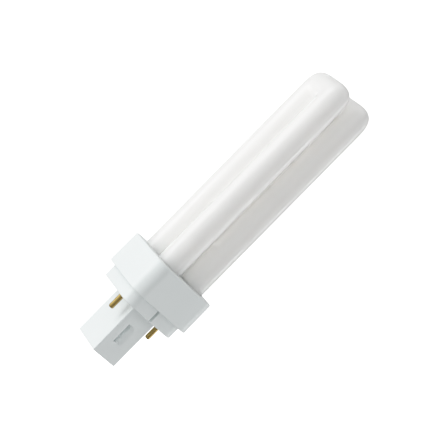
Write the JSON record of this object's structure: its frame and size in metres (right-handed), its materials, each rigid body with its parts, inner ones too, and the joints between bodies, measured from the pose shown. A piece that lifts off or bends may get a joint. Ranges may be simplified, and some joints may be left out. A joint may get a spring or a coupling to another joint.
{
  "type": "quad tube compact fluorescent lamp",
  "caption": "Plug-in compact fluorescent lamp: bent glass tubes side by side in a square plastic holder, with a square neck, brass contact pins and a rectangular latch post.",
  "frame": {"origin": "centre of the flat end of the post", "axes": "+Z along the lamp, from the post to the tips of the tubes; the contact pins lie on a line along X and are set over towards +Y"},
  "size_m": [0.0354, 0.0354, 0.152],
  "materials": {
    "coated_glass": "smooth glass over a matt white coating",
    "holder_plastic": "satin moulded",
    "cap_plastic": "satin moulded",
    "cement": "matt and grainy",
    "pin_brass": "polished",
    "clear_glass": "clear",
    "bimetal": "satin",
    "nickel_wire": "satin",
    "splice_metal": "satin",
    "sleeve": "matt",
    "dipped_coat": "glossy dipped coat"
  },
  "bodies": {
    "root": {"discharge_tube": "coated_glass", "tube_holder": "holder_plastic", "tube_cement": "cement", "end_cap": "cap_plastic", "contact_pin_a": "pin_brass", "contact_pin_b": "pin_brass", "starter_bulb": "clear_glass", "starter_bimetal_strip": "bimetal", "starter_fixed_electrode": "nickel_wire", "noise_capacitor": "dipped_coat", "capacitor_wire_a": "nickel_wire", "capacitor_wire_b": "nickel_wire", "splice_a": "splice_metal", "splice_b": "splice_metal", "splice_sleeve_a": "sleeve", "splice_sleeve_b": "sleeve", "starter_wire_a": "nickel_wire", "starter_wire_b": "nickel_wire", "pin_wire_a": "nickel_wire", "pin_wire_b": "nickel_wire"}
  },
  "joints": []
}
